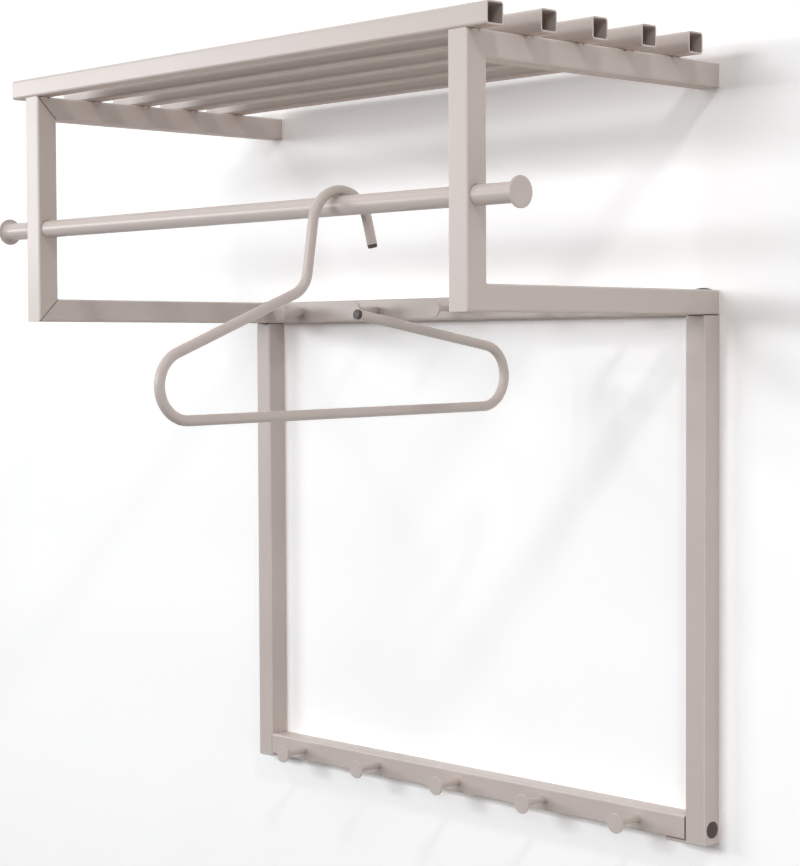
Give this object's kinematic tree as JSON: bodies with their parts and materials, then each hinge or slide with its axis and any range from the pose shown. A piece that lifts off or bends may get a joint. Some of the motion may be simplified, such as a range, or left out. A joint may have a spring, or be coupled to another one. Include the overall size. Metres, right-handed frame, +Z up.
{
  "type": "wall coat rack",
  "caption": "Wall coat rack in coated square steel tube: slatted hat shelf on two side frames, round clothes rail with end knobs, wall frame with rows of peg hooks, and a bent tube hanger.",
  "frame": {"origin": "midway between the head holes of the two upper keyholes, on the wall plane", "axes": "+X to the right along the wall, +Y into the wall (the rack stands out towards -Y), +Z up"},
  "size_m": [0.808, 0.5614, 0.803],
  "materials": {
    "powder_coat": "fine satin powder coat, warm greige",
    "plug_plastic": "moulded dark brown plastic, dull",
    "insert_plastic": "moulded dark brown plastic, dull",
    "bolt_steel": "zinc plated steel"
  },
  "bodies": {
    "rack": {"left_top_arm": "powder_coat", "right_top_arm": "powder_coat", "left_upright": "powder_coat", "right_upright": "powder_coat", "left_lower_arm": "powder_coat", "right_lower_arm": "powder_coat", "left_top_end_cap": "powder_coat", "right_top_end_cap": "powder_coat", "left_lower_end_cap": "powder_coat", "right_lower_end_cap": "powder_coat", "corner_welds": "powder_coat", "slat_1": "powder_coat", "slat_2": "powder_coat", "slat_3": "powder_coat", "slat_4": "powder_coat", "slat_5": "powder_coat", "slat_welds": "powder_coat", "clothes_rail": "powder_coat", "left_rail_knob": "powder_coat", "right_rail_knob": "powder_coat", "top_hook_bar": "powder_coat", "bottom_hook_bar": "powder_coat", "top_hook_1": "powder_coat", "top_hook_2": "powder_coat", "top_hook_3": "powder_coat", "top_hook_4": "powder_coat", "top_hook_5": "powder_coat", "bottom_hook_1": "powder_coat", "bottom_hook_2": "powder_coat", "bottom_hook_3": "powder_coat", "bottom_hook_4": "powder_coat", "bottom_hook_5": "powder_coat", "left_stile": "powder_coat", "right_stile": "powder_coat", "left_foot_plate": "powder_coat", "right_foot_plate": "powder_coat", "left_stile_insert": "insert_plastic", "right_stile_insert": "insert_plastic", "left_bar_insert": "insert_plastic", "right_bar_insert": "insert_plastic", "frame_bolts": "bolt_steel", "bar_bolts": "bolt_steel", "left_arm_plug": "plug_plastic", "right_arm_plug": "plug_plastic", "left_stile_plug": "plug_plastic", "right_stile_plug": "plug_plastic"},
    "hanger": {"hanger": "powder_coat", "hanger_plugs": "plug_plastic"}
  },
  "joints": [
    {"name": "hanger_slide", "type": "slide", "parent": "rack", "child": "hanger", "axis": [1, 0, 0], "range_m": [-0.4845, 0.1545]}
  ]
}
